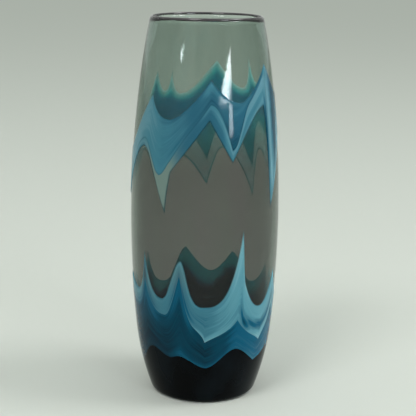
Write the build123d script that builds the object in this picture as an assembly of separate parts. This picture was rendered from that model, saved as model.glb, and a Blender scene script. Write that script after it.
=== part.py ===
from build123d import *
from math import asin, cos, radians, sin, sqrt
import os

# A hand blown, barrel-shaped glass vase, standing on z = 0 with its axis on Z.  The front faces -Y.
# The cold vase is one fused mass, so each piece here is one gather or trail of glass, as the
# glassblower brought it to the work: the smoke-grey body, the black foot cup, two trails combed
# into each of two coloured zones, and the dark thread on the lip.

# Driving dimensions, mm
HEIGHT = 300.0            # foot to lip
BELLY_RADIUS = 59.0       # widest point, outside
BELLY_HEIGHT = 143.0
MOUTH_RADIUS = 44.0       # outside, just under the lip
FOOT_ARC_TOP = 55.0       # below this the side curves in more tightly
FOOT_ARC_RADIUS = 220.0
HEEL_RADIUS = 6.0         # rounding between the side and the foot
WALL = 4.5
FLOOR = 15.0              # thick bottom, foot to inside floor
FLOOR_CORNER_RADIUS = 20.0
TRAIL_DEPTH = 1.3         # how deep the coloured trails are sunk in the wall
CUP_WALL = 2.4            # black glass over the lower wall
CUP_FLOOR = 6.0           # black glass under the smoke floor
PUNT_RADIUS = 26.0        # hollow under the foot
PUNT_DEPTH = 1.6
PONTIL_RADIUS = 11.0      # ground and polished pontil mark, a shallow dish in the punt
PONTIL_DEPTH = 0.8
PONTIL_BASE = 1.3         # height of the dish's rim, a little inside the punt
LIP_THREAD_RADIUS = 1.3   # dark thread fused on the lip
LIP_THREAD_RISE = 0.7     # how far it stands above the glass

# The edges of the coloured glass run round the vase as combed waves.  Each wave is a ring of points:
# (degrees round from the front towards +X, height in mm, steepness arriving, steepness leaving).
# Steepness 0 makes a round crest or trough, 1 runs straight to the next point, and 3 is the
# drawn-out point that the comb leaves.
FOOT_WAVE = [
    (-162, 33, 0, 0), (-136, 45, 0, 0), (-112, 32, 0, 0), (-93, 42, 1, 1), (-72, 28, 0, 0),
    (-47, 46, 0, 0), (-30, 40, 0, 0), (-21, 42, 0, 0), (2, 33, 0, 0), (27, 48, 0, 0),
    (50, 34, 1, 1), (70, 42, 2, 2), (92, 31, 0, 0), (114, 45, 0, 0), (138, 33, 0, 0),
    (168, 44, 0, 0),
]
LOWER_COLOUR_WAVE = [
    (-158, 84, 2, 2), (-135, 58, 0, 0), (-119, 84, 2, 2), (-97, 64, 0, 0), (-80, 84, 1, 1),
    (-66, 78, 0, 0), (-52, 102, 3, 3), (-32, 75, 0, 0), (-19, 108, 1.5, 3), (1, 55, 1, 1),
    (28, 72, 2, 2), (53, 51, 1, 1), (70, 76, 2, 2), (90, 58, 0, 0), (110, 80, 2, 2),
    (134, 56, 0, 0), (156, 82, 1.5, 1.5), (176, 58, 0, 0),
]
LOWER_CREST_WAVE = [
    (-164, 103, 1.5, 0), (-144, 76, 0, 0), (-120, 106, 3, 3), (-98, 84, 0, 0), (-80, 100, 1, 1),
    (-64, 91, 0, 0), (-52, 123, 3, 3), (-34, 88, 0, 0), (-18, 120, 0, 0), (-13, 103, 1.5, 3.5),
    (2, 84, 0, 0), (30.5, 143, 3, 1), (33, 103, 1, 2.5), (50, 80, 0, 0), (69, 106, 2, 2),
    (88, 82, 0, 0), (110, 99, 2, 2), (135, 78, 0, 0), (155, 100, 0, 1.5), (174, 82, 0, 0),
]
UPPER_TIP_WAVE = [
    (-156, 183, 0, 0), (-130, 165, 2, 2), (-110, 192, 0, 0), (-86, 160, 1, 1), (-55, 204, 0, 0),
    (-31, 155, 1, 2), (-27, 187, 1, 1), (3, 226, 1, 1), (21, 195, 1, 1.5), (54, 235, 0, 1),
    (59, 156, 1, 1), (88, 212, 0, 0), (108, 180, 1, 1), (124, 192, 0, 0), (135, 150, 2, 2),
    (166, 188, 0, 0), (179, 156, 1.5, 1.5),
]
UPPER_COLOUR_WAVE = [
    (-158, 205, 0, 0), (-130, 184, 2, 2), (-110, 206, 0, 0), (-84, 172, 1, 1), (-54, 210, 0, 0),
    (-37, 184, 0, 0), (-27, 196, 1, 1.2), (4, 238, 1, 0), (21, 204, 2, 0), (37, 238, 0.4, 1),
    (57, 259, 1, 1), (61, 166, 1, 1), (84, 231, 0, 0), (108, 200, 1, 1), (124, 214, 0, 0),
    (135, 174, 2, 2), (166, 210, 0, 0), (179, 178, 1.5, 1.5),
]
UPPER_CREST_WAVE = [
    (-157, 234, 0, 0), (-146, 253, 3, 3), (-139, 237, 0, 0), (-126, 254, 1.5, 1), (-88, 198, 0, 0),
    (-49, 243, 1, 3), (-29, 226, 0, 0.3), (4, 256, 1.5, 2), (29, 239, 0, 0), (42, 247, 1, 1),
    (60, 266, 1.3, 1), (86, 241, 0, 0), (106, 262, 1.5, 1), (123, 246, 0, 0), (132, 266, 3, 3),
    (144, 240, 0, 0), (170, 261, 1.5, 1),
]
POINTS_PER_SPAN = 7       # points on each wave between one listed point and the next

# Heights between which each coloured zone's layer is cut, clear of its waves
CUP_TOP = 75.0
LOWER_ZONE = (20.0, 160.0)
UPPER_ZONE = (140.0, 280.0)
# A wave's sheet reaches from well inside the wall to well outside it
SHEET_INSIDE = MOUTH_RADIUS - 4 * WALL
SHEET_OUTSIDE = BELLY_RADIUS + WALL

# The side is one long arc, and a tighter one takes over near the foot
SIDE_RADIUS = ((HEIGHT - BELLY_HEIGHT) ** 2 + (BELLY_RADIUS - MOUTH_RADIUS) ** 2) / (
    2 * (BELLY_RADIUS - MOUTH_RADIUS)
)
SIDE_CENTRE = (BELLY_RADIUS - SIDE_RADIUS, BELLY_HEIGHT)
FOOT_ARC_TURN = asin((BELLY_HEIGHT - FOOT_ARC_TOP) / SIDE_RADIUS)
FOOT_CENTRE = (
    SIDE_CENTRE[0] + (SIDE_RADIUS - FOOT_ARC_RADIUS) * cos(FOOT_ARC_TURN),
    SIDE_CENTRE[1] - (SIDE_RADIUS - FOOT_ARC_RADIUS) * sin(FOOT_ARC_TURN),
)


def wall_radius(height, inset=0.0):
    """Distance from the axis to the side of the vase, or to a surface that lies inset inside it."""
    join = SIDE_CENTRE[1] - (SIDE_RADIUS - inset) * sin(FOOT_ARC_TURN)
    centre, radius = (SIDE_CENTRE, SIDE_RADIUS) if height > join else (FOOT_CENTRE, FOOT_ARC_RADIUS)
    return centre[0] + sqrt((radius - inset) ** 2 - (height - centre[1]) ** 2)


def wall_line(low, high, inset=0.0):
    """The two arcs of the side's outline between two heights."""
    join = SIDE_CENTRE[1] - (SIDE_RADIUS - inset) * sin(FOOT_ARC_TURN)
    bottom = (wall_radius(low, inset), low)
    middle = (wall_radius(join, inset), join)
    top = (wall_radius(high, inset), high)
    foot = RadiusArc(bottom, middle, -(FOOT_ARC_RADIUS - inset))
    side = RadiusArc(middle, top, -(SIDE_RADIUS - inset))
    return [foot, side]


def turned(edges):
    """The solid of revolution of a closed outline drawn as radius and height."""
    return revolve(Plane.XZ * make_face(edges), Axis.Z)


def vessel():
    """The whole vase as one hollow turned solid, with a round lip, rounded heel and punt."""
    lip_radius = WALL / 2
    lip_height = HEIGHT - LIP_THREAD_RISE - lip_radius
    outside = wall_line(0, lip_height)
    rim = wall_radius(lip_height)
    outline = outside + [
        Line((rim, lip_height), (rim, HEIGHT)),
        Line((rim, HEIGHT), (0, HEIGHT)),
        Line((0, HEIGHT), (0, 0)),
        Line((0, 0), (wall_radius(0), 0)),
    ]
    blank = turned(outline)
    heel = blank.edges().group_by(Axis.Z)[0]
    blank = fillet(heel, HEEL_RADIUS)

    inside = wall_line(FLOOR, lip_height, WALL)
    bore = wall_radius(lip_height, WALL)
    hollow = turned(inside + [
        Line((bore, lip_height), (bore, HEIGHT)),
        Line((bore, HEIGHT), (0, HEIGHT)),
        Line((0, HEIGHT), (0, FLOOR)),
        Line((0, FLOOR), (wall_radius(FLOOR, WALL), FLOOR)),
    ])
    hollow = fillet(hollow.edges().group_by(Axis.Z)[0], FLOOR_CORNER_RADIUS)

    # The wall's square top is taken off above the middle of the lip, which is a round ring there
    ring_radius = (rim + bore) / 2
    above = (Align.CENTER, Align.CENTER, Align.MIN)
    top = Pos(0, 0, lip_height) * Cylinder(BELLY_RADIUS, HEIGHT, align=above)
    lip = Pos(0, 0, lip_height) * Torus(ring_radius, (rim - bore) / 2)
    return (blank - hollow - top) + lip - punt()


def punt():
    """The hollow ground under the foot, with the dish of the pontil mark in its middle."""
    def dish(radius, depth, base):
        sphere_radius = (radius ** 2 + depth ** 2) / (2 * depth)
        return Pos(0, 0, base + depth - sphere_radius) * Sphere(sphere_radius)

    return dish(PUNT_RADIUS, PUNT_DEPTH, 0) + dish(PONTIL_RADIUS, PONTIL_DEPTH, PONTIL_BASE)


def wave_height(wave, angle):
    """Height of a combed wave at an angle, by a cubic between the points on either side."""
    ring = wave + [(wave[0][0] + 360, *wave[0][1:])]
    angle = (angle - ring[0][0]) % 360 + ring[0][0]
    for (start, low, _, leaving), (end, high, arriving, _) in zip(ring, ring[1:]):
        if start <= angle <= end:
            t = (angle - start) / (end - start)
            blend = t * t * (3 - 2 * t) + leaving * t * (1 - t) ** 2 - arriving * t * t * (1 - t)
            return low + (high - low) * blend


def wave_edge(wave, start, end, radius):
    """One span of a wave, as a curve on an upright cylinder."""
    points = []
    for i in range(POINTS_PER_SPAN):
        angle = start + (end - start) * i / (POINTS_PER_SPAN - 1)
        turn = radians(angle)
        points.append((radius * sin(turn), -radius * cos(turn), wave_height(wave, angle)))
    return Spline(*points)


def wave_surface(wave):
    """A ring-shaped sheet through the wall, level from inside to outside, that follows a wave."""
    starts = [point[0] for point in wave]
    ends = starts[1:] + [starts[0] + 360]
    faces = []
    for start, end in zip(starts, ends):
        inner = wave_edge(wave, start, end, SHEET_INSIDE)
        outer = wave_edge(wave, start, end, SHEET_OUTSIDE)
        faces.append(Face.make_surface_from_curves(inner, outer))
    return Shell(faces)


def layer(depth, low, high):
    """The outermost glass of the wall, between two heights."""
    outside = wall_line(low, high)
    inside = wall_line(low, high, depth)
    ends = [
        Line((wall_radius(high), high), (wall_radius(high, depth), high)),
        Line((wall_radius(low, depth), low), (wall_radius(low), low)),
    ]
    return turned(outside + inside + ends)


def cut_by_waves(solid, waves):
    """The solid's slices between waves that are listed from the lowest to the highest."""
    slices = []
    rest = solid
    for wave in waves:
        parts = rest.split(wave_surface(wave), keep=Keep.ALL)
        parts = sorted(parts, key=lambda part: part.center().Z)
        slices.append(parts[0])
        rest = parts[-1]
    slices.append(rest)
    return slices


def lip_thread():
    """The dark thread of glass fused round the top of the lip."""
    lip_height = HEIGHT - LIP_THREAD_RISE - WALL / 2
    ring_radius = (wall_radius(lip_height) + wall_radius(lip_height, WALL)) / 2
    return Pos(0, 0, HEIGHT - LIP_THREAD_RADIUS) * Torus(ring_radius, LIP_THREAD_RADIUS)


def foot_cup(whole):
    """The black glass gathered over the foot, with its wavy upper edge."""
    outline = wall_line(CUP_FLOOR, CUP_TOP, CUP_WALL) + [
        Line((wall_radius(CUP_TOP, CUP_WALL), CUP_TOP), (0, CUP_TOP)),
        Line((0, CUP_TOP), (0, CUP_FLOOR)),
        Line((0, CUP_FLOOR), (wall_radius(CUP_FLOOR, CUP_WALL), CUP_FLOOR)),
    ]
    smoke_core = turned(outline)
    smoke_core = fillet(smoke_core.edges().group_by(Axis.Z)[0], HEEL_RADIUS)
    shell = whole - smoke_core
    below = shell.split(wave_surface(FOOT_WAVE), keep=Keep.ALL)
    return sorted(below, key=lambda part: part.center().Z)[0]


def main():
    whole = vessel()
    cup = foot_cup(whole)
    lower_waves = [FOOT_WAVE, LOWER_COLOUR_WAVE, LOWER_CREST_WAVE]
    upper_waves = [UPPER_TIP_WAVE, UPPER_COLOUR_WAVE, UPPER_CREST_WAVE]
    lower = cut_by_waves(layer(TRAIL_DEPTH, *LOWER_ZONE), lower_waves)
    upper = cut_by_waves(layer(TRAIL_DEPTH, *UPPER_ZONE), upper_waves)
    thread = lip_thread()
    pieces = {
        "foot_cup": cup,
        "lower_blue_trail": lower[1],
        "lower_pale_trail": lower[2],
        "upper_pale_trail": upper[1],
        "upper_blue_trail": upper[2],
        "lip_thread": thread,
    }
    body = whole
    for piece in pieces.values():
        body = body - piece
    pieces["smoke_body"] = body

    os.makedirs("parts", exist_ok=True)
    for name, piece in pieces.items():
        print(f"{name}: {len(piece.solids())} solid, {piece.volume / 1000:.1f} cm3")
        export_step(piece, f"parts/{name}.step")


main()
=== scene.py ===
"""Hand blown glass vase: the visual model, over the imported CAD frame.

The clear smoke glass, the black foot, the four combed trails and the lip thread are separate closed
pieces of glass.  Each takes its shape from the CAD node that it replaces.
"""
import math

import bmesh
import bpy
from mathutils import Matrix, Vector, kdtree, noise


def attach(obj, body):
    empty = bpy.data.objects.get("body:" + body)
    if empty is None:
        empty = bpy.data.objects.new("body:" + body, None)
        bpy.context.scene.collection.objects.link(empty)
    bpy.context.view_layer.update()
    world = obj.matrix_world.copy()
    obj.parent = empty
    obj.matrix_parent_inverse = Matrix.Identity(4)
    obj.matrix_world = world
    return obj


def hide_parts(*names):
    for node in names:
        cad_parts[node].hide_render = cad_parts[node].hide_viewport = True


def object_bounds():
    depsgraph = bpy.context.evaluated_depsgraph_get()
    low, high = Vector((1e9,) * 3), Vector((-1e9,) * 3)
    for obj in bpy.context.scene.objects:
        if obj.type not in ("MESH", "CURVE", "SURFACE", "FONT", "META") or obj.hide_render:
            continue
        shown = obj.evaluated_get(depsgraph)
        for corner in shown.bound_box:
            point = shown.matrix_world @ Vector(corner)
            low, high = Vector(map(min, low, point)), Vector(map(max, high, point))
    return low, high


MM = 0.001

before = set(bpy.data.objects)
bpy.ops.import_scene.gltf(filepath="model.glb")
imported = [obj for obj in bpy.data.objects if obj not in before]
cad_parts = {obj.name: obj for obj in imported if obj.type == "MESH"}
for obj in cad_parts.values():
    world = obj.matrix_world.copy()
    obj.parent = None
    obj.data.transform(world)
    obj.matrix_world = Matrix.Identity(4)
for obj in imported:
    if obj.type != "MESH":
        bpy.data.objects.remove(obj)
cad_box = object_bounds()

# ---------------------------------------------------------------- driving dimensions, metres
HEIGHT = cad_box[1].z
BELLY_RADIUS = cad_box[1].x
BELLY_HEIGHT = 143 * MM
MOUTH_RADIUS = 44 * MM
FOOT_ARC_TOP = 55 * MM
FOOT_ARC_RADIUS = 220 * MM
HEEL_RADIUS = 6 * MM
WALL = 4.5 * MM
FLOOR = 15 * MM
FLOOR_CORNER_RADIUS = 20 * MM
CUP_WALL = 2.4 * MM
CUP_FLOOR = 6 * MM
PUNT_RADIUS = 26 * MM
PUNT_DEPTH = 1.6 * MM
LIP_RADIUS = WALL / 2
LIP_THREAD_RADIUS = 1.3 * MM
LIP_THREAD_RISE = 0.7 * MM
LIP_HEIGHT = HEIGHT - LIP_THREAD_RISE - LIP_RADIUS      # the middle of the round lip
LIP_THREAD_HEIGHT = HEIGHT - 0.9 * LIP_THREAD_RADIUS    # and of the thread that lies on it
FLAT_RADIUS = 30 * MM        # the clear glass's base and floor are flat this far out

# The hand blown wall swells slowly in and out, dying away between two heights at each end
SWELL_INSIDE = 0.35 * MM
SWELL_OUTSIDE = 0.03 * MM
SWELLS_AROUND = 1.6          # how closely the swellings follow one another, round the vase
SWELLS_UPWARDS = 9           # and up it
SWELL_FOOT = (20 * MM, 40 * MM)
SWELL_LIP = (290 * MM, 270 * MM)

# The lip thread's thickness, as shares of its radius
THREAD_FULLNESS = 0.84
THREAD_SWELL = 0.10
THREAD_THINNING = 0.22       # how much thinner it is at the two sides of the vase

GLASS_INSET = 0.50 * MM      # the smoke glass's outside lies this far inside the trails' outside
TRAIL_INSET = 0.02 * MM
TRAIL_BACK_INSET = 0.45 * MM # the trails' inner faces lie just clear of the smoke glass
EDGE_INSET = 0.53 * MM       # but their free edges dip into it
EDGE_DIP_LENGTH = 1.6 * MM
LAP = 0.4 * MM               # trails that touch run this far into each other
LAP_DIP = 0.25               # share of the full dip where they do
BACK_DIP = 0.3               # share of the outer face's dip that the inner face makes
CUP_EDGE_DIP = 0.05 * MM     # the black glass dips this much further under the trail above it

# ---------------------------------------------------------------- how finely the meshes are cut
FINE_STEPS = 3600            # angles round the vase at which a trail's edges are read
SAG = 0.04 * MM              # most that a kept edge may cut across the read one
WIDEST_STEP = 12             # fine steps between two kept angles, at most
EDGE_POINT_GAP = 0.25 * MM   # between the points that stand for an edge when distances are measured
TRAIL_ROWS = 30              # between a trail's two edges
SIDE_STEPS = 110             # up the clear glass's side
GLASS_AROUND = 288           # round it
LIP_STEPS = 16
FLOOR_CORNER_STEPS = 18
FLOOR_STEPS = 8
CUP_ROWS = 14                # up the outside of the black foot
CUP_INSIDE_ROWS = 10
HEEL_STEPS = 10
INNER_HEEL_STEPS = 8
PUNT_STEPS = 8
THREAD_AROUND = 240          # round the vase
THREAD_STEPS = 20            # round the thread's own section

# ---------------------------------------------------------------- the vase's outline
SIDE_RADIUS = ((HEIGHT - BELLY_HEIGHT) ** 2 + (BELLY_RADIUS - MOUTH_RADIUS) ** 2) / (
    2 * (BELLY_RADIUS - MOUTH_RADIUS)
)
SIDE_CENTRE = (BELLY_RADIUS - SIDE_RADIUS, BELLY_HEIGHT)
FOOT_ARC_TURN = math.asin((BELLY_HEIGHT - FOOT_ARC_TOP) / SIDE_RADIUS)
FOOT_CENTRE = (
    SIDE_CENTRE[0] + (SIDE_RADIUS - FOOT_ARC_RADIUS) * math.cos(FOOT_ARC_TURN),
    SIDE_CENTRE[1] - (SIDE_RADIUS - FOOT_ARC_RADIUS) * math.sin(FOOT_ARC_TURN),
)


def wall_radius(height, inset=0.0):
    """Distance from the axis to the side of the vase, or to a surface that lies inset inside it."""
    join = SIDE_CENTRE[1] - (SIDE_RADIUS - inset) * math.sin(FOOT_ARC_TURN)
    centre, radius = (SIDE_CENTRE, SIDE_RADIUS) if height > join else (FOOT_CENTRE, FOOT_ARC_RADIUS)
    return centre[0] + math.sqrt((radius - inset) ** 2 - (height - centre[1]) ** 2)


def corner_arc(base, corner_radius, inset, steps):
    """Points of the round corner between a level floor at base and the side, floor end first."""
    reach = FOOT_ARC_RADIUS - inset - corner_radius
    height = base + corner_radius
    centre = FOOT_CENTRE[0] + math.sqrt(reach ** 2 - (height - FOOT_CENTRE[1]) ** 2)
    end = math.atan2(height - FOOT_CENTRE[1], centre - FOOT_CENTRE[0])
    points = []
    for step in range(steps + 1):
        turn = -math.pi / 2 + (end + math.pi / 2) * step / steps
        points.append((centre + corner_radius * math.cos(turn), height + corner_radius * math.sin(turn)))
    return points


def side_points(low, high, inset, steps):
    """Points up the side between two heights, both ends included."""
    heights = [low + (high - low) * step / steps for step in range(steps + 1)]
    return [(wall_radius(height, inset), height) for height in heights]


def smooth(low, high, value):
    """0 at low and beyond, 1 at high and beyond, and a smooth change between them."""
    t = min(max((value - low) / (high - low), 0.0), 1.0)
    return t * t * (3 - 2 * t)


# ---------------------------------------------------------------- reading the waves from the CAD
def read_edges(node):
    """Lowest and highest point of a trail's solid at each fine angle: its two wavy edges."""
    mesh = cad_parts[node].data
    low = [HEIGHT] * FINE_STEPS
    high = [0.0] * FINE_STEPS
    turns = [math.atan2(v.co.x, -v.co.y) / math.tau * FINE_STEPS for v in mesh.vertices]
    for edge in mesh.edges:
        a, b = edge.vertices
        start, end = turns[a], turns[b]
        low_end, high_end = mesh.vertices[a].co.z, mesh.vertices[b].co.z
        if start > end:
            start, end, low_end, high_end = end, start, high_end, low_end
        if end - start > FINE_STEPS / 2:
            start, end, low_end, high_end = end, start + FINE_STEPS, high_end, low_end
        for step in range(math.ceil(start), math.floor(end) + 1):
            height = low_end + (high_end - low_end) * (step - start) / max(end - start, 1e-9)
            low[step % FINE_STEPS] = min(low[step % FINE_STEPS], height)
            high[step % FINE_STEPS] = max(high[step % FINE_STEPS], height)
    return low, high


def cuts_across(edge, start, end):
    """Whether a straight run between two fine angles leaves the edge by more than the sag."""
    for step in range(start + 1, end):
        share = (step - start) / (end - start)
        straight = edge[start % FINE_STEPS] * (1 - share) + edge[end % FINE_STEPS] * share
        if abs(straight - edge[step % FINE_STEPS]) > SAG:
            return True
    return False


def kept_steps(edges):
    """The fine angles that a mesh needs in order to follow some edges closely."""
    kept = [0]
    for step in range(1, FINE_STEPS):
        too_wide = step + 1 - kept[-1] > WIDEST_STEP
        if too_wide or any(cuts_across(edge, kept[-1], step + 1) for edge in edges):
            kept.append(step)
    return kept


def turned(turn, radius, height):
    """A point at a turn round the axis; turn 0 is the front, and it grows towards +X."""
    return Vector((radius * math.sin(turn), -radius * math.cos(turn), height))


def on_wall(turn, height, inset=0.0):
    """A point on the vase's side, or on a surface that lies inset inside it."""
    return turned(turn, wall_radius(height, inset), height)


def lip_ring_radius():
    """Distance from the axis to the middle of the lip."""
    return (wall_radius(LIP_HEIGHT) + wall_radius(LIP_HEIGHT, WALL)) / 2


def edge_tree(edge):
    """A finder of the nearest point of an edge."""
    points = []
    for step in range(FINE_STEPS):
        here = on_wall(math.tau * step / FINE_STEPS, edge[step])
        there = on_wall(math.tau * (step + 1) / FINE_STEPS, edge[(step + 1) % FINE_STEPS])
        parts = max(1, round((there - here).length / EDGE_POINT_GAP))
        points.extend(here.lerp(there, part / parts) for part in range(parts))
    tree = kdtree.KDTree(len(points))
    for index, point in enumerate(points):
        tree.insert(point, index)
    tree.balance()
    return tree


# ---------------------------------------------------------------- meshes
def skin(name, columns, closed):
    """A mesh over columns of points, one column for each angle round the vase.

    Closed columns are loops; open ones start and end on the axis.
    """
    count = len(columns[0])
    mesh = bpy.data.meshes.new(name)
    vertices = [point for column in columns for point in column]
    faces = []
    for c in range(len(columns)):
        this = c * count
        following = (c + 1) % len(columns) * count
        for p in range(count if closed else count - 1):
            q = (p + 1) % count
            faces.append((this + p, following + p, following + q, this + q))
    mesh.from_pydata(vertices, [], faces)
    piece = bpy.data.objects.new(name, mesh)
    bpy.context.scene.collection.objects.link(piece)
    return piece


def tidy(piece, sharp_angle=50):
    """Join the points that meet on the axis, face everything outwards and smooth all but the corners."""
    solid = bmesh.new()
    solid.from_mesh(piece.data)
    bmesh.ops.remove_doubles(solid, verts=solid.verts, dist=0.002 * MM)
    bmesh.ops.recalc_face_normals(solid, faces=solid.faces)
    solid.to_mesh(piece.data)
    solid.free()
    piece.data.shade_smooth()
    piece.data.set_sharp_from_angle(angle=math.radians(sharp_angle))


def give_values(piece, name, values):
    """Store one number for each point of a mesh."""
    layer = piece.data.attributes.new(name, "FLOAT", "POINT")
    layer.data.foreach_set("value", values)


def give_vectors(piece, name, values):
    """Store one vector for each point of a mesh."""
    layer = piece.data.attributes.new(name, "FLOAT_VECTOR", "POINT")
    layer.data.foreach_set("vector", [number for value in values for number in value])


def dab_weight(dabs, degrees, height):
    """How strongly soft oval dabs of other glass reach a place on the side."""
    total = 0.0
    for angle, dab_height, width, length, amount in dabs:
        across = ((degrees - angle + 180) % 360 - 180) / width
        along = (height / MM - dab_height) / length
        total += amount * math.exp(-across ** 2 - along ** 2)
    return total


def pattern_tone(pattern, degrees, share):
    """How pale a trail is at a place, from 0 for its deepest glass to 1 for its palest.

    The pattern is a ring of (degrees, tones); the tones run evenly from the lower edge to the upper.
    """
    ring = pattern + [(pattern[0][0] + 360, pattern[0][1])]
    degrees = (degrees - ring[0][0]) % 360 + ring[0][0]
    for (start, tones), (end, next_tones) in zip(ring, ring[1:]):
        if start <= degrees <= end:
            along = smooth(start, end, degrees)
            place = share * (len(tones) - 1)
            lower = min(int(place), len(tones) - 2)
            rise = smooth(0, 1, place - lower)
            here = tones[lower] + (tones[lower + 1] - tones[lower]) * rise
            there = next_tones[lower] + (next_tones[lower + 1] - next_tones[lower]) * rise
            return here + (there - here) * along


def trail(name, node, pattern, lower_free=False, upper_free=False, grey_dabs=(), deep_dabs=()):
    """One combed trail as a closed strip round the vase, with what its material needs stored on it.

    A free edge dips into the clear glass; one that is not free runs a little into its neighbour.
    Stored are the flow (the way round and the share of the way up), the distances in mm from the two
    edges, the tone from deep to pale, the greyness, and whether a point is on the inward face.
    """
    low, high = read_edges(node)
    steps = kept_steps((low, high))
    low_tree, high_tree = edge_tree(low), edge_tree(high)
    columns, flow = [], []
    numbers = {"from_low": [], "from_high": [], "tone": [], "grey": []}
    shares = [(1 - math.cos(math.pi * row / TRAIL_ROWS)) / 2 for row in range(TRAIL_ROWS + 1)]
    for step in steps:
        turn = math.tau * step / FINE_STEPS
        degrees = math.degrees(turn)
        bottom = low[step] - (0 if lower_free else LAP)
        top = high[step] + (0 if upper_free else LAP)
        outer, inner = [], []
        for share in shares:
            height = bottom + (top - bottom) * share
            place = on_wall(turn, height)
            to_low = low_tree.find(place)[2]
            to_high = high_tree.find(place)[2]
            from_free = min(
                to_low if lower_free else EDGE_DIP_LENGTH,
                to_high if upper_free else EDGE_DIP_LENGTH,
            )
            dip = 1 - smooth(0, EDGE_DIP_LENGTH, from_free)
            if not low[step] < height < high[step]:
                dip = max(dip, LAP_DIP)
            drop = (EDGE_INSET - TRAIL_INSET) * dip
            outer.append(on_wall(turn, height, TRAIL_INSET + drop))
            inner.append(on_wall(turn, height, TRAIL_BACK_INSET + drop * BACK_DIP))
            flow.append((math.cos(turn), math.sin(turn), share))
            tone = pattern_tone(pattern, degrees, share) - dab_weight(deep_dabs, degrees, height)
            numbers["from_low"].append(to_low / MM)
            numbers["from_high"].append(to_high / MM)
            numbers["tone"].append(tone)
            numbers["grey"].append(dab_weight(grey_dabs, degrees, height))
        for values in (flow, *numbers.values()):
            values.extend(reversed(values[-len(shares):]))
        columns.append(outer + inner[::-1])
    numbers["inward"] = ([0.0] * len(shares) + [1.0] * len(shares)) * len(columns)
    piece = skin(name, columns, closed=True)
    give_vectors(piece, "flow", flow)
    for number_name, values in numbers.items():
        give_values(piece, number_name, values)
    tidy(piece)
    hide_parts(node)
    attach(piece, "root")
    return piece


def unevenness(turn, height):
    """The slow swelling of a hand blown wall, which dies away at the foot and the lip."""
    across, along = math.cos(turn) * SWELLS_AROUND, math.sin(turn) * SWELLS_AROUND
    place = Vector((across, along, height * SWELLS_UPWARDS))
    return noise.noise(place) * smooth(*SWELL_LIP, height) * smooth(*SWELL_FOOT, height)


def vase_glass():
    """The clear smoke glass, wall and floor, with the slight unevenness of a hand blown wall."""
    lip_centre = lip_ring_radius()
    lip_size = LIP_RADIUS - GLASS_INSET
    base = CUP_FLOOR / 2
    outside = [(0, base), (FLAT_RADIUS, base)] + side_points(base, LIP_HEIGHT, GLASS_INSET, SIDE_STEPS)
    lip = []
    for step in range(1, LIP_STEPS):
        turn = math.pi * step / LIP_STEPS
        lip.append((lip_centre + lip_size * math.cos(turn), LIP_HEIGHT + lip_size * math.sin(turn)))
    corner = corner_arc(FLOOR, FLOOR_CORNER_RADIUS, WALL, FLOOR_CORNER_STEPS)
    inside = side_points(corner[-1][1], LIP_HEIGHT, WALL, SIDE_STEPS)[::-1]
    floor = [(corner[0][0] * step / FLOOR_STEPS, FLOOR) for step in range(FLOOR_STEPS, -1, -1)]
    section = outside + lip + inside + corner[::-1][1:] + floor[1:]
    columns = []
    for c in range(GLASS_AROUND):
        turn = math.tau * c / GLASS_AROUND
        column = []
        for index, (radius, height) in enumerate(section):
            is_inside = index >= len(outside) + len(lip) - 1
            swell = SWELL_INSIDE if is_inside else SWELL_OUTSIDE
            if radius > FLAT_RADIUS:
                radius += swell * unevenness(turn, height)
            column.append(turned(turn, radius, height))
        columns.append(column)
    piece = skin("smoke_glass_wall", columns, closed=False)
    tidy(piece, 80)
    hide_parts("smoke_body")
    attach(piece, "root")
    return piece


def foot_cup():
    """The black glass over the foot: its outside with heel and punt, its wavy edge and its inside."""
    low, _ = read_edges("lower_blue_trail")
    steps = kept_steps((low,))
    heel = corner_arc(0, HEEL_RADIUS, 0, HEEL_STEPS)
    inner_heel = corner_arc(CUP_FLOOR, HEEL_RADIUS, CUP_WALL, INNER_HEEL_STEPS)
    floor_middle = (0, CUP_FLOOR)
    ball = (PUNT_RADIUS ** 2 + PUNT_DEPTH ** 2) / (2 * PUNT_DEPTH)
    punt = []
    for step in range(PUNT_STEPS + 1):
        radius = PUNT_RADIUS * step / PUNT_STEPS
        punt.append((radius, PUNT_DEPTH - ball + math.sqrt(ball ** 2 - radius ** 2)))
    columns = []
    for step in steps:
        turn = math.tau * step / FINE_STEPS
        edge = low[step] + LAP
        outside = []
        for row in range(1, CUP_ROWS + 1):
            height = heel[-1][1] + (edge - heel[-1][1]) * row / CUP_ROWS
            dip = smooth(low[step] - LAP / 4, low[step] + LAP * 3 / 4, height)
            outside.append((wall_radius(height, TRAIL_INSET + CUP_EDGE_DIP * dip), height))
        inside = side_points(inner_heel[-1][1], edge, CUP_WALL, CUP_INSIDE_ROWS)[::-1]
        section = punt + heel + outside + inside + inner_heel[::-1][1:] + [floor_middle]
        columns.append([turned(turn, radius, height) for radius, height in section])
    piece = skin("black_foot", columns, closed=False)
    tidy(piece, 60)
    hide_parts("foot_cup")
    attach(piece, "root")
    return piece


def lip_thread():
    """The dark thread on the lip, a little uneven in thickness as it was laid on by hand."""
    ring = lip_ring_radius()
    columns = []
    for c in range(THREAD_AROUND):
        turn = math.tau * c / THREAD_AROUND
        swell = noise.noise(Vector((math.cos(turn) * 1.3, math.sin(turn) * 1.3, 4.0)))
        thinning = THREAD_THINNING * math.sin(turn) ** 4
        size = LIP_THREAD_RADIUS * (THREAD_FULLNESS + THREAD_SWELL * swell - thinning)
        column = []
        for step in range(THREAD_STEPS):
            roll = math.tau * step / THREAD_STEPS
            radius = ring + size * math.cos(roll)
            column.append(turned(turn, radius, LIP_THREAD_HEIGHT + size * math.sin(roll)))
        columns.append(column)
    piece = skin("lip_thread_ring", columns, closed=True)
    tidy(piece, 80)
    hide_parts("lip_thread")
    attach(piece, "root")
    return piece


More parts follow.
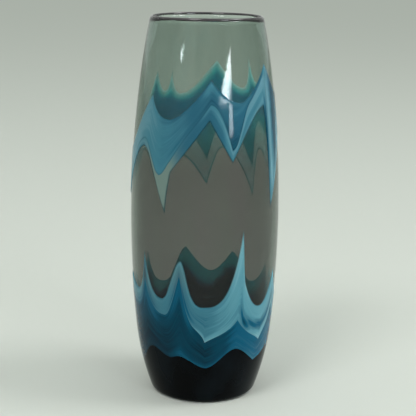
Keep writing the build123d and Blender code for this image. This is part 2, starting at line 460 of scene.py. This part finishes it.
# ---------------------------------------------------------------- materials
def srgb(red, green, blue):
    """A linear colour from its 0 to 255 display values."""
    def linear(value):
        value /= 255
        return value / 12.92 if value <= 0.04045 else ((value + 0.055) / 1.055) ** 2.4

    return (linear(red), linear(green), linear(blue), 1.0)


# Colours of the trails, from deepest to palest
UPPER_STOPS = [
    (0.0, srgb(14, 66, 86)), (0.25, srgb(38, 94, 114)), (0.5, srgb(62, 118, 134)),
    (0.75, srgb(88, 134, 147)), (1.0, srgb(120, 166, 178)),
]
LOWER_STOPS = [
    (0.0, srgb(0, 30, 46)), (0.25, srgb(0, 60, 80)), (0.42, srgb(8, 84, 110)), (0.58, srgb(60, 114, 130)),
    (0.78, srgb(88, 142, 155)), (1.0, srgb(128, 172, 182)),
]
STREAK_CONTRAST = 0.5
GREY = srgb(108, 128, 122)
# Painted shade: a dark line along a trail's edges, fading out away from the edge
EDGE_SHADE_COLOUR = srgb(8, 56, 66)
EDGE_SHADE_FADE = (0.25, 1.3)   # mm from the edge, where it starts and ends to fade out
UPPER_GLEAM = 0.15           # specular level of the trails
LOWER_GLEAM = 0.1

# The inward faces of the trails
INWARD_CLEAR_COLOUR = (0.9, 1.0, 1.0, 1.0)
VEIL_EDGE_COLOUR = (0.4, 0.55, 0.58, 1.0)
INWARD_DEEP_COLOUR = (0.12, 0.4, 0.5, 1.0)
# Painted shade on the inward face's edges too: near black, and passing little light
INWARD_EDGE_SHADE_COLOUR = (0.0, 0.02, 0.02, 1.0)
INWARD_EDGE_SHADE_FADE = (0.5, 1.8)

# How far red, green and blue light reach into the trails, in units of the subsurface scale
SUBSURFACE_SCALE = 5 * MM
OUTWARD_REACH = (0.084, 0.12, 0.126, 1.0)
INWARD_CLEAR_REACH = (1.2, 5.0, 6.0, 1.0)
VEIL_REACH = (0.14, 0.42, 0.62, 1.0)
DEPTHS_REACH = (0.01, 0.09, 0.12, 1.0)
# The painted shade on the inward edges lets little light through
INWARD_EDGE_SHADE_REACH = (0.03, 0.06, 0.06, 1.0)

# The clear glass, greyer and browner below these heights than above them: partly its own deeper tint,
# partly painted shade for dark surroundings seen through it
SMOKE_TINT_AND_SHADE_HEIGHTS = (0.6 * HEIGHT, 0.82 * HEIGHT)
SMOKE_LOW_TINT_AND_SHADE = (0.59, 0.52, 0.54, 1.0)
SMOKE_HIGH_TINT = (1.0, 1.0, 1.0, 1.0)
SMOKE_CLOUD_TINT = (0.5, 0.6, 0.5, 1.0)
SMOKE_ABSORPTION = (0.18, 0.36, 0.27, 1.0)
SMOKE_DENSITY = 138

# The faint unevenness of the surfaces: how closely it follows itself across and up, a metre
WALL_RIPPLES = (90, 90, 14)
FOOT_RIPPLES = (60, 60, 20)
RIPPLE_HEIGHT = 0.3 * MM
RIPPLE_STRENGTH = 0.12


class Shader:
    """A material's nodes, built one at a time; each method gives back the new node's output."""

    def __init__(self, name):
        self.material = bpy.data.materials.new(name)
        self.material.use_nodes = True
        self.tree = self.material.node_tree
        self.surface = self.tree.nodes["Principled BSDF"]

    def set(self, socket, value):
        if isinstance(value, bpy.types.NodeSocket):
            self.tree.links.new(value, socket)
        else:
            socket.default_value = value

    def attribute(self, name, output="Fac"):
        node = self.tree.nodes.new("ShaderNodeAttribute")
        node.attribute_name = name
        return node.outputs[output]

    def position(self):
        return self.tree.nodes.new("ShaderNodeTexCoord").outputs["Object"]

    def scaled(self, vector, scale, shift=(0, 0, 0)):
        node = self.tree.nodes.new("ShaderNodeMapping")
        self.set(node.inputs["Vector"], vector)
        node.inputs["Scale"].default_value = scale
        node.inputs["Location"].default_value = shift
        return node.outputs["Vector"]

    def noise(self, vector, detail=3.0, roughness=0.5, distortion=0.0):
        node = self.tree.nodes.new("ShaderNodeTexNoise")
        self.set(node.inputs["Vector"], vector)
        node.inputs["Scale"].default_value = 1.0
        node.inputs["Detail"].default_value = detail
        node.inputs["Roughness"].default_value = roughness
        node.inputs["Distortion"].default_value = distortion
        return node.outputs["Fac"]

    def math(self, operation, first, second=0.0, clamp=False):
        node = self.tree.nodes.new("ShaderNodeMath")
        node.operation = operation
        node.use_clamp = clamp
        self.set(node.inputs[0], first)
        self.set(node.inputs[1], second)
        return node.outputs[0]

    def between(self, value, low, high, start=0.0, end=1.0):
        """A smooth step from start to end as value goes from low to high."""
        node = self.tree.nodes.new("ShaderNodeMapRange")
        node.interpolation_type = "SMOOTHSTEP"
        self.set(node.inputs["Value"], value)
        node.inputs["From Min"].default_value = low
        node.inputs["From Max"].default_value = high
        node.inputs["To Min"].default_value = start
        node.inputs["To Max"].default_value = end
        return node.outputs["Result"]

    def ramp(self, value, stops):
        node = self.tree.nodes.new("ShaderNodeValToRGB")
        node.color_ramp.interpolation = "EASE"
        elements = node.color_ramp.elements
        while len(elements) < len(stops):
            elements.new(0.5)
        for element, (position, colour) in zip(elements, stops):
            element.position = position
            element.color = colour
        self.set(node.inputs["Fac"], value)
        return node.outputs["Color"]

    def mix(self, factor, first, second):
        node = self.tree.nodes.new("ShaderNodeMix")
        node.data_type = "RGBA"
        self.set(node.inputs[0], factor)
        self.set(node.inputs[6], first)
        self.set(node.inputs[7], second)
        return node.outputs[2]

    def bump(self, height, strength, distance):
        node = self.tree.nodes.new("ShaderNodeBump")
        node.inputs["Strength"].default_value = strength
        node.inputs["Distance"].default_value = distance
        self.set(node.inputs["Height"], height)
        return node.outputs["Normal"]

    def put(self, name, value):
        self.set(self.surface.inputs[name], value)

    def ripple(self, scale):
        """The faint unevenness of a blown surface."""
        height = self.noise(self.scaled(self.position(), scale), detail=2.0)
        self.put("Normal", self.bump(height, RIPPLE_STRENGTH, RIPPLE_HEIGHT))


def smoke_material():
    """Clear smoke glass with long faint clouds, greyer and browner low down: partly its own tint, partly
    painted shade.
    """
    shader = Shader("smoke_glass")
    height = shader.tree.nodes.new("ShaderNodeSeparateXYZ")
    shader.set(height.inputs[0], shader.position())
    # Partly painted shade: below these heights the glass is tinted darker and browner
    high_up = shader.between(height.outputs["Z"], *SMOKE_TINT_AND_SHADE_HEIGHTS)
    tint_and_shade = shader.mix(high_up, SMOKE_LOW_TINT_AND_SHADE, SMOKE_HIGH_TINT)
    cloud = shader.noise(shader.scaled(shader.position(), (45, 45, 7)), detail=4.0, roughness=0.6)
    cloud = shader.between(cloud, 0.35, 0.7, 0.0, 0.22)
    shader.put("Base Color", shader.mix(cloud, tint_and_shade, SMOKE_CLOUD_TINT))
    shader.put("Roughness", 0.015)
    shader.put("IOR", 1.36)
    shader.put("Transmission Weight", 1.0)
    shader.ripple(WALL_RIPPLES)
    absorb = shader.tree.nodes.new("ShaderNodeVolumeAbsorption")
    absorb.inputs["Color"].default_value = SMOKE_ABSORPTION
    absorb.inputs["Density"].default_value = SMOKE_DENSITY
    output = shader.tree.nodes["Material Output"]
    shader.tree.links.new(absorb.outputs["Volume"], output.inputs["Volume"])
    return shader.material


def streaks(shader):
    """Combed streaks that run along a trail: broad ones and fine ones, from 0 to 1."""
    flow = shader.attribute("flow", "Vector")
    broad = shader.noise(shader.scaled(flow, (1.6, 1.6, 7.0)), detail=2.0, distortion=0.3)
    fine = shader.noise(shader.scaled(flow, (3.5, 3.5, 34.0), (5, 2, 8)), detail=3.0, roughness=0.6)
    return shader.math("ADD", shader.math("MULTIPLY", broad, 0.6), shader.math("MULTIPLY", fine, 0.4))


def trail_material(name, stops, gleam, deep_reach, edge_shades=(), inward_depth=(),
                   clear_colour=INWARD_CLEAR_COLOUR):
    """Streaky coloured glass, from deep to pale, with thin dark lines of painted shade along its edges.

    Its outward face shows its own colour. Its inward face, seen only through the clear glass, also
    lets light through from behind: least where it is deepest, and more towards its free edge.
    The dark lines of painted shade along its edges are rows of (edge, strength outward, strength inward).
    The rows of the inward depth are (edge, mm, depth at the edge); each rises or falls to 1 over that
    length, and they multiply.
    """
    shader = Shader(name)
    streak = shader.math("MULTIPLY", shader.math("SUBTRACT", streaks(shader), 0.5), STREAK_CONTRAST)
    tone = shader.math("ADD", shader.attribute("tone"), streak, clamp=True)
    colour = shader.ramp(tone, stops)
    colour = shader.mix(shader.between(shader.attribute("grey"), 0.0, 1.0), colour, GREY)
    depth = 1.0
    for edge, length, start in inward_depth:
        factor = shader.between(shader.attribute(edge), 0.0, length, start, 1.0)
        depth = shader.math("MULTIPLY", depth, factor)
    inward = shader.attribute("inward")
    inward_colour = shader.mix(depth, clear_colour, INWARD_DEEP_COLOUR)
    clearness = shader.math("POWER", shader.math("SUBTRACT", 1.0, depth, clamp=True), 3.0)
    inward_reach = shader.mix(clearness, deep_reach, INWARD_CLEAR_REACH)
    # Painted shade: dark lines along the chosen edges, on the outward face and on the inward face
    for edge, strength, inward_strength in edge_shades:
        edge_shade = shader.between(shader.attribute(edge), *EDGE_SHADE_FADE, strength, 0.0)
        colour = shader.mix(edge_shade, colour, EDGE_SHADE_COLOUR)
        inward_edge_shade = shader.between(shader.attribute(edge), *INWARD_EDGE_SHADE_FADE, inward_strength, 0.0)
        inward_colour = shader.mix(inward_edge_shade, inward_colour, INWARD_EDGE_SHADE_COLOUR)
        inward_reach = shader.mix(inward_edge_shade, inward_reach, INWARD_EDGE_SHADE_REACH)
    shader.put("Base Color", shader.mix(inward, colour, inward_colour))
    shader.put("Subsurface Weight", 0.9)
    shader.put("Subsurface Radius", shader.mix(inward, OUTWARD_REACH, inward_reach))
    shader.put("Subsurface Scale", SUBSURFACE_SCALE)
    shader.put("Roughness", 0.06)
    shader.put("IOR", 1.5)
    shader.put("Specular IOR Level", gleam)
    shader.ripple(WALL_RIPPLES)
    return shader.material


def black_material():
    """Black glass with a trace of blue."""
    shader = Shader("black_glass")
    cloud = shader.noise(shader.scaled(shader.position(), (40, 40, 25)), detail=4.0)
    colour = shader.ramp(cloud, [(0.35, srgb(3, 4, 5)), (0.7, srgb(9, 15, 19))])
    shader.put("Base Color", colour)
    shader.put("Roughness", 0.07)
    shader.put("IOR", 1.5)
    shader.put("Specular IOR Level", 0.05)
    shader.ripple(FOOT_RIPPLES)
    return shader.material


def plum_material():
    """Dark plum glass that gleams."""
    shader = Shader("plum_glass")
    cloud = shader.noise(shader.scaled(shader.position(), (30, 30, 30)), detail=3.0)
    colour = shader.ramp(cloud, [(0.3, srgb(22, 15, 21)), (0.7, srgb(52, 42, 50))])
    shader.put("Base Color", colour)
    shader.put("Roughness", 0.05)
    shader.put("IOR", 1.5)
    shader.put("Specular IOR Level", 1.0)
    return shader.material


def dress(piece, material):
    """Give a piece its material."""
    piece.data.materials.append(material)


# ---------------------------------------------------------------- the pieces
# How pale each trail is round the vase: (degrees, tones from its lower edge to its upper edge)
UPPER_BLUE_TONES = [
    (-150, (0.35, 0.45, 0.5, 0.45, 0.5, 0.4, 0.3)), (-115, (0.3, 0.3, 0.35, 0.5, 0.55, 0.6, 0.4)),
    (-88, (0.55, 0.65, 0.7, 0.7, 0.75, 0.7, 0.6)), (-70, (0.75, 0.8, 0.8, 0.75, 0.7, 0.75, 0.7)),
    (-55, (0.5, 0.6, 0.7, 0.75, 0.7, 0.7, 0.7)), (-45, (0.4, 0.5, 0.6, 0.6, 0.6, 0.6, 0.55)),
    (-34, (0.45, 0.45, 0.45, 0.45, 0.45, 0.4, 0.35)), (-20, (0.3, 0.35, 0.4, 0.4, 0.4, 0.35, 0.25)),
    (-8, (0.15, 0.2, 0.25, 0.25, 0.25, 0.2, 0.2)), (4, (0.1, 0.15, 0.25, 0.35, 0.45, 0.5, 0.3)),
    (13, (0.15, 0.2, 0.3, 0.35, 0.35, 0.35, 0.25)), (21, (0.05, 0.1, 0.15, 0.2, 0.3, 0.35, 0.3)),
    (35, (0.2, 0.25, 0.3, 0.3, 0.35, 0.35, 0.3)), (52, (0.3, 0.3, 0.3, 0.25, 0.2, 0.15, 0.1)),
    (61, (0.8, 0.9, 0.8, 0.85, 0.8, 0.7, 0.7)), (65, (0.6, 0.5, 0.4, 0.35, 0.3, 0.3, 0.2)),
    (68, (0.3, 0.2, 0.1, 0.1, 0.1, 0.05, 0.0)), (76, (0.5, 0.4, 0.2, 0.15, 0.1, 0.05, 0.0)),
    (100, (0.4, 0.45, 0.5, 0.4, 0.45, 0.35, 0.3)), (130, (0.3, 0.3, 0.4, 0.5, 0.45, 0.4, 0.3)),
    (155, (0.45, 0.5, 0.4, 0.35, 0.45, 0.5, 0.4)),
]
UPPER_PALE_TONES = [
    (-155, (0.5, 0.6, 0.7, 0.6, 0.7, 0.75, 0.6)), (-110, (0.6, 0.7, 0.6, 0.7, 0.8, 0.7, 0.6)),
    (-75, (0.8, 0.85, 0.85, 0.8, 0.8, 0.75, 0.75)), (-57, (0.2, 0.4, 0.5, 0.6, 0.6, 0.55, 0.5)),
    (-45, (0.35, 0.55, 0.6, 0.6, 0.6, 0.5, 0.45)), (-31, (0.5, 0.55, 0.55, 0.5, 0.5, 0.45, 0.4)),
    (-20, (0.25, 0.3, 0.3, 0.3, 0.3, 0.3, 0.3)), (-8, (0.2, 0.25, 0.25, 0.25, 0.25, 0.25, 0.25)),
    (3, (0.2, 0.25, 0.25, 0.25, 0.35, 0.45, 0.4)), (12, (0.25, 0.3, 0.3, 0.35, 0.5, 0.65, 0.45)),
    (20, (0.6, 0.55, 0.5, 0.6, 0.75, 0.7, 0.45)), (32, (0.5, 0.65, 0.5, 0.45, 0.7, 0.78, 0.68)),
    (45, (0.55, 0.65, 0.42, 0.48, 0.72, 0.8, 0.7)), (55, (0.3, 0.6, 0.65, 0.45, 0.7, 0.82, 0.82)),
    (59, (0.2, 0.75, 0.45, 0.8, 0.4, 0.8, 0.8)), (72, (0.7, 0.8, 0.7, 0.8, 0.8, 0.7, 0.7)),
    (100, (0.6, 0.7, 0.8, 0.7, 0.8, 0.7, 0.6)), (140, (0.7, 0.8, 0.7, 0.6, 0.7, 0.8, 0.7)),
]
LOWER_PALE_TONES = [
    (-150, (0.5, 0.6, 0.5, 0.6, 0.7, 0.6, 0.6)), (-115, (0.4, 0.5, 0.6, 0.5, 0.6, 0.7, 0.7)),
    (-80, (0.5, 0.55, 0.6, 0.6, 0.65, 0.65, 0.65)), (-66, (0.4, 0.5, 0.55, 0.6, 0.65, 0.65, 0.6)),
    (-52, (0.4, 0.42, 0.45, 0.5, 0.6, 0.65, 0.7)), (-33, (0.5, 0.6, 0.62, 0.62, 0.6, 0.58, 0.55)),
    (-18, (0.4, 0.42, 0.48, 0.55, 0.6, 0.65, 0.65)), (0, (0.8, 0.65, 0.58, 0.56, 0.55, 0.56, 0.6)),
    (15, (0.8, 0.75, 0.7, 0.72, 0.7, 0.7, 0.7)), (28, (0.7, 0.72, 0.78, 0.8, 0.85, 0.9, 0.95)),
    (34, (0.65, 0.3, 0.65, 0.8, 0.8, 0.85, 0.9)),
    (43, (0.85, 0.7, 0.35, 0.7, 0.78, 0.8, 0.75)), (52, (0.9, 0.85, 0.5, 0.45, 0.8, 0.82, 0.78)),
    (62, (0.75, 0.8, 0.4, 0.65, 0.75, 0.8, 0.75)), (72, (0.6, 0.7, 0.6, 0.7, 0.75, 0.8, 0.8)),
    (100, (0.6, 0.7, 0.5, 0.6, 0.7, 0.6, 0.7)), (135, (0.7, 0.5, 0.6, 0.7, 0.6, 0.7, 0.6)),
]
LOWER_BLUE_TONES = [
    (-150, (0.25, 0.2, 0.3, 0.2, 0.25, 0.3, 0.35)), (-100, (0.2, 0.25, 0.2, 0.3, 0.25, 0.3, 0.3)),
    (-60, (0.04, 0.08, 0.08, 0.1, 0.14, 0.2, 0.3)), (-50, (0.04, 0.08, 0.1, 0.18, 0.32, 0.42, 0.5)),
    (-33, (0.05, 0.1, 0.15, 0.15, 0.17, 0.22, 0.32)), (-19, (0.3, 0.25, 0.18, 0.2, 0.28, 0.36, 0.4)),
    (1, (0.3, 0.2, 0.15, 0.12, 0.12, 0.15, 0.2)), (15, (0.35, 0.3, 0.25, 0.3, 0.25, 0.25, 0.3)),
    (30, (0.45, 0.5, 0.42, 0.48, 0.4, 0.42, 0.4)), (45, (0.5, 0.45, 0.45, 0.48, 0.4, 0.42, 0.4)),
    (60, (0.45, 0.4, 0.4, 0.45, 0.4, 0.4, 0.45)), (90, (0.2, 0.3, 0.25, 0.35, 0.3, 0.3, 0.35)),
    (130, (0.25, 0.3, 0.2, 0.25, 0.35, 0.3, 0.3)),
]
# Dabs of thinner, greyer glass: (degrees, height mm, width degrees, length mm, amount)
UPPER_GREY_DABS = [(-37, 172, 17, 34, 1.6)]
LOWER_GREY_DABS = [(-50, 104, 22, 24, 0.35), (-18, 108, 10, 18, 0.35)]
# Dabs of deeper glass, measured the same way
UPPER_DEEP_DABS = [(56, 205, 1.8, 36, 0.9), (69, 225, 3.5, 34, 0.4)]
LOWER_DEEP_DABS = [(-52, 100, 1.6, 16, 0.3)]

dress(vase_glass(), smoke_material())
dress(foot_cup(), black_material())
dress(lip_thread(), plum_material())

lower_blue = trail("lower_blue_combing", "lower_blue_trail", LOWER_BLUE_TONES)
lower_pale = trail("lower_pale_combing", "lower_pale_trail", LOWER_PALE_TONES, upper_free=True,
                   grey_dabs=LOWER_GREY_DABS, deep_dabs=LOWER_DEEP_DABS)
upper_pale = trail("upper_pale_combing", "upper_pale_trail", UPPER_PALE_TONES, lower_free=True,
                   grey_dabs=UPPER_GREY_DABS, deep_dabs=UPPER_DEEP_DABS)
upper_blue = trail("upper_blue_combing", "upper_blue_trail", UPPER_BLUE_TONES, upper_free=True,
                   deep_dabs=UPPER_DEEP_DABS)

dress(lower_blue, trail_material(
    "lower_blue_glass", LOWER_STOPS, LOWER_GLEAM, DEPTHS_REACH,
))
dress(lower_pale, trail_material(
    "lower_pale_glass", LOWER_STOPS, LOWER_GLEAM, DEPTHS_REACH,
    edge_shades=[("from_high", 0.4, 0.6)],
    inward_depth=[("from_high", 30.0, 0.5), ("from_low", 10.0, 1.4)],
))
dress(upper_pale, trail_material(
    "upper_pale_glass", UPPER_STOPS, UPPER_GLEAM, VEIL_REACH,
    edge_shades=[("from_low", 0.8, 0.9)],
    inward_depth=[("from_low", 70.0, 0.05)],
))
dress(upper_blue, trail_material(
    "upper_blue_glass", UPPER_STOPS, UPPER_GLEAM, VEIL_REACH,
    edge_shades=[("from_low", 0.3, 0.0), ("from_high", 0.15, 0.0)],
    inward_depth=[("from_high", 10.0, 0.15), ("from_low", 20.0, 0.5)],
    clear_colour=VEIL_EDGE_COLOUR,
))


# ---------------------------------------------------------------- floor, light and camera
FLOOR_SIZE = 16              # metres
WINDOW_POWER = 2.0           # watts a square metre
WINDOW_SPREAD = 25           # degrees: narrow, so that it shows on the glass and not on the floor
WINDOW_COLOUR = (0.86, 0.95, 1.0)
WINDOW_DISTANCE = 3.0        # metres
WINDOW_WIDTH = 1.4           # metres, along its sill
WINDOW_HEIGHT = 0.43         # metres, from its sill to its point
WINDOW_EDGE = 44             # azimuth of its upright edge, degrees
WINDOW_POINT = 14.3          # elevation of its point, degrees
WINDOW_DROP = 8.2            # and from there to the sill
WINDOW_STRIPS = 8
LAMP_AIM_HEIGHT = 0.6 * HEIGHT
CEILING_LAMP = {"elevation": 50, "distance": 2.6, "width": 0.9, "height": 0.7, "power": 22}

CAMERA_PLACE = (0, -0.8901, 0.352)
CAMERA_SENSOR = 36           # mm wide
CAMERA_LENS = 99.5           # mm
CAMERA_AIM = -0.164          # degrees round the upright
CAMERA_DROP = 12.87          # degrees that it looks down
CAMERA_ROLL = 0.712          # degrees round the way it looks


def pale_floor():
    """A plain matt floor."""
    bpy.ops.mesh.primitive_grid_add(x_subdivisions=2, y_subdivisions=2, size=FLOOR_SIZE)
    floor = bpy.context.object
    floor.name = "pale_floor"
    shader = Shader("pale_floor")
    shader.put("Base Color", srgb(206, 210, 203))
    shader.put("Roughness", 0.8)
    shader.put("Specular IOR Level", 0.0)
    floor.data.materials.append(shader.material)


def area_light(name, azimuth, elevation, distance, width, height, power,
               colour=(1.0, 1.0, 1.0), spread=180):
    """A rectangular lamp that looks at the middle of the vase; azimuth 0 is the camera's side."""
    lamp = bpy.data.lights.new(name, "AREA")
    lamp.shape = "RECTANGLE"
    lamp.size = width
    lamp.size_y = height
    lamp.energy = power
    lamp.spread = math.radians(spread)
    lamp.color = colour
    light = bpy.data.objects.new(name, lamp)
    turn, rise = math.radians(azimuth), math.radians(elevation)
    aim = Vector((0, 0, LAMP_AIM_HEIGHT))
    way = Vector((math.sin(turn) * math.cos(rise), -math.cos(turn) * math.cos(rise), math.sin(rise)))
    light.location = aim + way * distance
    light.rotation_euler = way.to_track_quat("Z", "Y").to_euler()
    bpy.context.scene.collection.objects.link(light)


def window_pane(name, azimuth, elevation, width, height, dimming=1.0):
    """A pane of daylight, as bright for its size as the others but for its dimming."""
    power = WINDOW_POWER * dimming * width * height
    area_light(name, azimuth, elevation, WINDOW_DISTANCE, width, height, power,
               WINDOW_COLOUR, WINDOW_SPREAD)


def sloping_window():
    """A window on the right, as strips that narrow upwards to a point, over a narrow lower pane."""
    for strip in range(WINDOW_STRIPS):
        share = (strip + 0.5) / WINDOW_STRIPS
        width = WINDOW_WIDTH * share
        azimuth = WINDOW_EDGE - math.degrees(width / 2 / WINDOW_DISTANCE)
        elevation = WINDOW_POINT - WINDOW_DROP * share
        window_pane(f"window_strip_{strip}", azimuth, elevation, width, WINDOW_HEIGHT / WINDOW_STRIPS)
    window_pane("window_tail", 40.5, 3.4, 0.34, 0.28, dimming=0.7)


def studio():
    """Plain soft light from all round, the windows, and two lamps overhead."""
    world = bpy.data.worlds.new("studio")
    world.use_nodes = True
    world.node_tree.nodes["Background"].inputs["Color"].default_value = srgb(208, 213, 209)
    world.node_tree.nodes["Background"].inputs["Strength"].default_value = 1.0
    bpy.context.scene.world = world
    sloping_window()
    window_pane("window_left", -46, 13, 0.16, 0.12, dimming=0.7)
    area_light("ceiling_left", -31, **CEILING_LAMP)
    area_light("ceiling_right", 83, **CEILING_LAMP)


def photo_camera():
    """The camera, at the photograph's viewing angle."""
    camera = bpy.data.objects.new("photo_camera", bpy.data.cameras.new("photo_camera"))
    camera.data.sensor_width = CAMERA_SENSOR
    camera.data.lens = CAMERA_LENS
    camera.data.clip_start = 0.02
    camera.data.clip_end = 60
    aim = Matrix.Rotation(math.radians(CAMERA_AIM), 4, "Z")
    tilt = Matrix.Rotation(math.radians(90 - CAMERA_DROP), 4, "X")
    roll = Matrix.Rotation(math.radians(CAMERA_ROLL), 4, "Z")
    camera.matrix_world = Matrix.Translation(CAMERA_PLACE) @ aim @ tilt @ roll
    bpy.context.scene.collection.objects.link(camera)
    bpy.context.scene.camera = camera


pale_floor()
studio()
photo_camera()
bpy.context.scene.view_settings.view_transform = "Standard"
